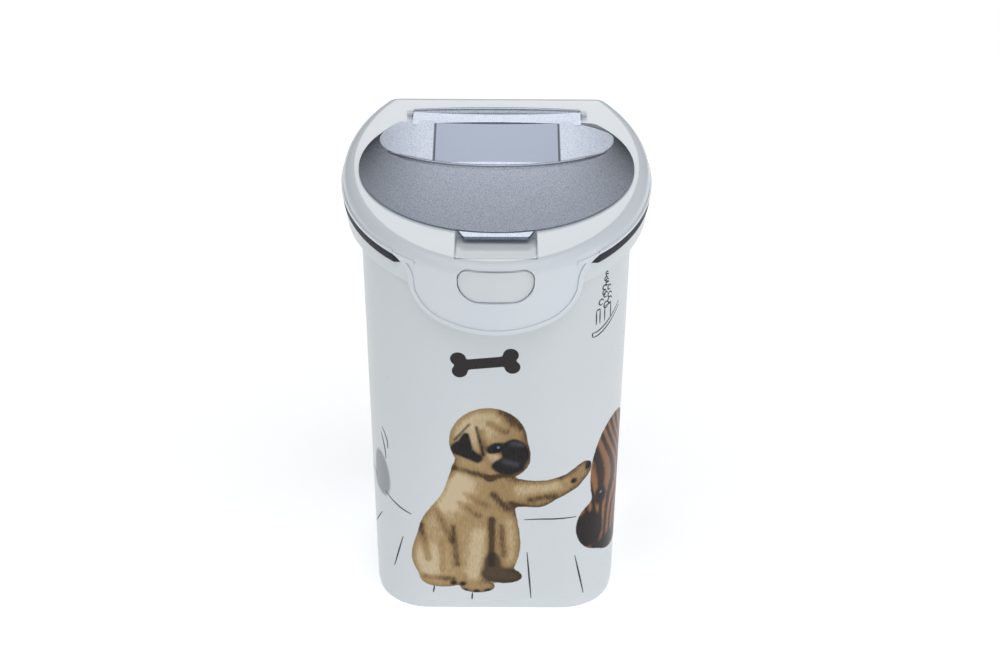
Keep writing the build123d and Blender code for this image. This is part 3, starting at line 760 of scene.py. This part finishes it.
shelf = [SHELF_LINE, [(x, z + SHELF_THICK) for x, z in SHELF_LINE]]
shelf.append((shelf[0][0], shelf[1][0]))
pots = [((x, POT_HIGH), (x, POT_LOW)) for x in POT_LINES]
pots += [((POT_LINES[side], POT_HIGH), (POT_LINES[side + 1], POT_HIGH)) for side in (0, 2)]
boards = []
for x, low_end, high_end in BOARDS:
    boards.append(((x * (VANISHING_Z - high_end) / (VANISHING_Z - low_end), high_end), (x, low_end)))
drawn = [*SKIRTING_STROKES, *boards, *LEFT_STROKES, *shelf, *pots]
strokes = [[(round_from(x, z), z) for x, z in path] for path in drawn] + list(SIDE_STROKES)
curl_turns = np.linspace(0, 5.4, 6)
for leaf in range(LEAF_COUNT):
    climb = leaf / (LEAF_COUNT - 1)
    z = PLANT_LOW + (PLANT_HIGH - PLANT_LOW) * climb
    middle = round_from(PLANT_X + 5 * (1 - climb) * sin(2.4 * leaf), z)
    radius = 2.9 - 1.5 * climb
    strokes.append([(middle + radius * cos(turn), z + radius * sin(turn)) for turn in curl_turns])
ink_verts, ink_faces = [], []
for path in strokes:
    ink_stroke(ink_verts, ink_faces, path, INK_WIDTH)
ink_finish = Finish("pen_ink")
ink_wear = ink_finish.noise(700.0, 3.0)
ink_share = ink_finish.limit(ink_wear, 0.45, 0.85)
ink_finish.set(
    Base_Color=ink_finish.mix(ink_share, srgb(30, 31, 36), srgb(84, 86, 92)),
    Roughness=0.3 + 0.15 * ink_wear,
    Normal=ink_finish.bump(ink_wear, 0.00002, 0.3),
)
ink = add_mesh("pen_strokes", ink_verts, ink_faces, ink_finish.material, smooth=False)
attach(ink, "tub")
print("pen strokes:", len(strokes))

# %% [markdown]
# ## The seal as a soft band
# The CAD seal is a plain ring on the rim.  The real one is soft and swells out under the lid's
# flange, except behind the apron where there is no room, so the band here follows the rim in
# front and the flange everywhere else, with a rounded outer face.


# %% Outlines of the rim and the flange
def cut_ellipse(half, reach, back, count=420):
    """An ellipse cut off by a straight back, as points in order round the bin, in millimetres."""
    end = pi - np.arccos(back / reach)
    turn = np.linspace(-end, end, count)
    front = np.stack([half * np.sin(turn), -reach * np.cos(turn)], axis=1)
    across = np.linspace(front[-1, 0], front[0, 0], count // 4)[1:-1]
    outline = np.concatenate([front, np.stack([across, np.full(len(across), back)], axis=1)])
    for _ in range(60):
        eased = (np.roll(outline, 1, axis=0) + outline + np.roll(outline, -1, axis=0)) / 3
        near_back = np.clip((outline[:, 1:] - back + 26) / 12, 0, 1)
        outline = outline + near_back * (eased - outline)
    return outline


def outward(outline):
    """Unit normals of an outline that runs round the bin from its left."""
    lead = np.roll(outline, -1, axis=0) - np.roll(outline, 1, axis=0)
    lead /= np.linalg.norm(lead, axis=1)[:, None]
    return np.stack([lead[:, 1], -lead[:, 0]], axis=1)


rim_line = cut_ellipse(RIM_HALF, RIM_REACH, RIM_BACK)
flange_line = cut_ellipse(130.6, 161.2, 111.0)
APRON_EDGE, APRON_EASE = 76, 8   # the band starts to swell here, and is full this much further on
FRONT_END, FRONT_EASE = -70, 20
beyond_apron = np.clip((np.abs(rim_line[:, :1]) - APRON_EDGE) / APRON_EASE, 0, 1)
behind_front = np.clip((rim_line[:, 1:] - FRONT_END) / FRONT_EASE, 0, 1)
share = np.maximum(beyond_apron, behind_front)
swell = share ** 2 * (3 - 2 * share)
band_line = rim_line * (1 - swell) + flange_line * swell
stand_out = np.linalg.norm(band_line - rim_line, axis=1).max()
print("the seal stands out up to", round(float(stand_out), 1), "mm")


# %% Seal band
def loop_mesh(name, sections, material):
    """A closed ring from points in order round the ring, then round its profile, in millimetres."""
    count, around = sections.shape[:2]
    corner = np.arange(count * around).reshape(count, around)
    onward, upward = np.roll(corner, -1, axis=0), np.roll(corner, -1, axis=1)
    faces = np.stack([corner, onward, np.roll(onward, -1, axis=1), upward], axis=-1).reshape(-1, 4)
    return add_mesh(name, (sections.reshape(-1, 3) * MM).tolist(), faces.tolist(), material)


SEAL_DEPTH = 5.0
SEAL_PROFILE = (      # step out from the band's line, and height
    (-SEAL_DEPTH, 354.3), (-0.6, 354.3), (-0.15, 354.9), (0.0, 356.5),
    (0.0, 360.0), (-0.15, 361.9), (-0.6, 362.6), (-SEAL_DEPTH, 362.6),
)
band_out = outward(band_line)
inner_line = rim_line - SEAL_DEPTH * outward(rim_line)
rings = []
for step, z in SEAL_PROFILE:
    flat = inner_line if step == -SEAL_DEPTH else band_line + step * band_out
    rings.append(np.column_stack([flat[:, 0], flat[:, 1] + WIDEST_Y / MM, np.full(len(flat), z)]))
seal_band = loop_mesh("seal_band", np.stack(rings, axis=1), seal_slate)
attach(seal_band, "tub")
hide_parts("seal_ring")
print("seal band faces:", len(seal_band.data.polygons))

# %% [markdown]
# ## Lip round the catch
# The catch pad fills the apron's window but for a hairline.  A slim lip round the pad closes
# most of the clearance the CAD leaves, and rounds the pad's edge.

# %% Catch lip
PAD_HALF, PAD_LOW, PAD_HIGH, PAD_CORNER = 30.0, 337.2, 364.6, 17.0


def pad_outline(grow):
    """Front view of the catch pad grown by an amount, as points in order, in millimetres."""
    points = []
    low, high, half = PAD_LOW - grow, PAD_HIGH + grow, PAD_HALF + grow
    for side, inward, level, corner, first in (
        (1, -1, high, PAD_CORNER / 2, 90), (1, 1, low, PAD_CORNER, 0),
        (-1, 1, low, PAD_CORNER, -90), (-1, -1, high, PAD_CORNER / 2, 180),
    ):
        radius = corner + grow
        middle = (side * (half - radius), level + inward * radius)
        for turn in np.radians(np.linspace(first, first - 90, 12)):
            points.append((middle[0] + radius * cos(turn), middle[1] + radius * sin(turn)))
    return np.array(points)


def rim_front(x, stand_out):
    """How far in front of the widest line the rim is at x, standing out by an amount."""
    return (RIM_REACH + stand_out) * np.sqrt(1 - np.square(x / (RIM_HALF + stand_out)))


LIP_PROFILE = (       # growth of the pad's outline, and how far it stands out from the rim
    (-0.6, 1.0), (-0.6, 2.45), (0.2, 2.5), (0.7, 2.2), (0.9, 1.7), (0.9, 1.0),
)
lip_rings = []
for grow, stand_out in LIP_PROFILE:
    flat = pad_outline(grow)
    depth = WIDEST_Y / MM - rim_front(flat[:, 0], stand_out)
    lip_rings.append(np.column_stack([flat[:, 0], depth, flat[:, 1]]))
catch_lip = loop_mesh("catch_lip", np.stack(lip_rings, axis=1), tub_white)
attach(catch_lip, "tub")
print("catch lip faces:", len(catch_lip.data.polygons))

# %% [markdown]
# ## Rolled edge of the flap's plate
# The flat plate on the flap ends in a soft raised roll that catches the light.  Its path is the
# plate's round front edge, found by measuring where the CAD flap starts to fall away below the
# plate's crown, and its section follows the crown inside and the hood outside.

# %% Top of the flap
ABOVE_FLAP = 0.45
flap_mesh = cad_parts["flap"].data
flap_faces = [face.vertices for face in flap_mesh.polygons]
flap_tree = BVHTree.FromPolygons([corner.co for corner in flap_mesh.vertices], flap_faces)


def flap_top(x, y):
    """Height of the flap's upper surface at a point, in metres."""
    hit = flap_tree.ray_cast(Vector((x, y, ABOVE_FLAP)), Vector((0, 0, -1)))[0]
    return hit.z


# %% Edge of the plate
CROWN_TOP, CROWN_R = 388.6, 1300.0
PLATE_MID = 60.2                 # middle of the plate's arc, behind the widest line
EDGE_SEARCH = (84.0, 125.0, 0.2)
EDGE_DROP = 0.12                 # the plate has ended when the flap is this far below its crown
SLOT_HALF, SLOT_FRONT = 53.5, 18.7


def out_from_plate(turn, radius):
    """Point on the flap's plan at an angle and distance from the plate's middle, in metres."""
    return radius * MM * sin(turn), WIDEST_Y + PLATE_MID * MM - radius * MM * cos(turn)


def crown(x):
    """Height of the gently crowned plate, in metres."""
    return CROWN_TOP * MM - x * x / (2 * CROWN_R * MM)


def plate_edge(turn):
    """Distance from the middle of the arc to where the plate breaks into the hood."""
    for radius in np.arange(*EDGE_SEARCH):
        x, y = out_from_plate(turn, radius)
        in_slot = abs(x) < SLOT_HALF * MM and y > WIDEST_Y - SLOT_FRONT * MM
        if not in_slot and crown(x) - flap_top(x, y) > EDGE_DROP * MM:
            return radius
    raise ValueError("no plate edge found at this angle")


def hood_slope(turn, edge):
    """Fall of the hood just outside the plate, per unit run."""
    near, far = edge + 8.0, edge + 11.0
    fall = flap_top(*out_from_plate(turn, near)) - flap_top(*out_from_plate(turn, far))
    return fall / ((far - near) * MM)


# %% Plate roll
ROLL_HALF, ROLL_RISE = 3.4, 0.8
ROLL_BURIED, ROLL_THICK = 0.05, 0.9
ROLL_FADE = 14                   # rows over which each end of the roll dies away
clear_turns = np.radians([0, 5, 10, 42, 46, 50, 54, 58])
edges = [plate_edge(turn) for turn in clear_turns]
edge_shape = np.polynomial.polynomial.polyfit(clear_turns ** 2, edges, 2)
slopes = [hood_slope(turn, edge) for turn, edge in zip(clear_turns, edges)]
slope_shape = np.polynomial.polynomial.polyfit(clear_turns ** 2, slopes, 2)
print("plate edge at", np.round(edges, 1), "hood slope", np.round(slopes, 2))
roll_turns = np.radians(np.linspace(-59, 59, 150))
across = np.linspace(-1, 1, 11)
roll_rows = []
for index, turn in enumerate(roll_turns):
    fade = min(1.0, (index + 1) / ROLL_FADE, (len(roll_turns) - index) / ROLL_FADE)
    edge = np.polynomial.polynomial.polyval(turn ** 2, edge_shape)
    slope = np.polynomial.polynomial.polyval(turn ** 2, slope_shape)
    row = []
    for share in across:
        run = share * ROLL_HALF * (0.3 + 0.7 * fade)
        x, y = out_from_plate(turn, edge + run)
        edge_x = out_from_plate(turn, edge)[0]
        base = crown(x) if run <= 0 else crown(edge_x) - slope * run * MM
        rise = ROLL_RISE * fade * max(0.0, 1 - share * share) - ROLL_BURIED
        row.append((x, y, base + rise * MM))
    row += [(x, y, z - ROLL_THICK * MM) for x, y, z in row[::-1]]
    roll_rows.append(row)
roll_points = np.array(roll_rows)
count, around = roll_points.shape[:2]
roll_faces = []
for step in range(count - 1):
    for side in range(around):
        near, far = step * around + side, step * around + (side + 1) % around
        roll_faces.append((near, far, far + around, near + around))
roll_faces.append(tuple(range(around - 1, -1, -1)))
roll_faces.append(tuple(range((count - 1) * around, count * around)))
plate_roll = add_mesh("plate_roll", roll_points.reshape(-1, 3).tolist(), roll_faces, flap_silver)
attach(plate_roll, "flap")
print("plate roll faces:", len(roll_faces))

# %% [markdown]
# ## Floor
# The floor is one wide pale sheet.  It glows a little, so that it stays white to its far edge
# and the bin still drops a soft shadow on it.

# %% Floor
FLOOR_HALF = 6.0
FLOOR_GLOW = 0.44
floor_finish = Finish("studio_floor")
floor_finish.set(Base_Color=srgb(252, 252, 252), Roughness=0.9)
floor_finish.set(Emission_Color=(0.98, 0.99, 1.0, 1), Emission_Strength=FLOOR_GLOW)
floor_corners = [(FLOOR_HALF * x, FLOOR_HALF * y, 0) for x, y in ((-1, -1), (1, -1), (1, 1), (-1, 1))]
floor = add_mesh("floor", floor_corners, [(0, 1, 2, 3)], floor_finish.material, smooth=False)
print("floor spans", 2 * FLOOR_HALF, "m")
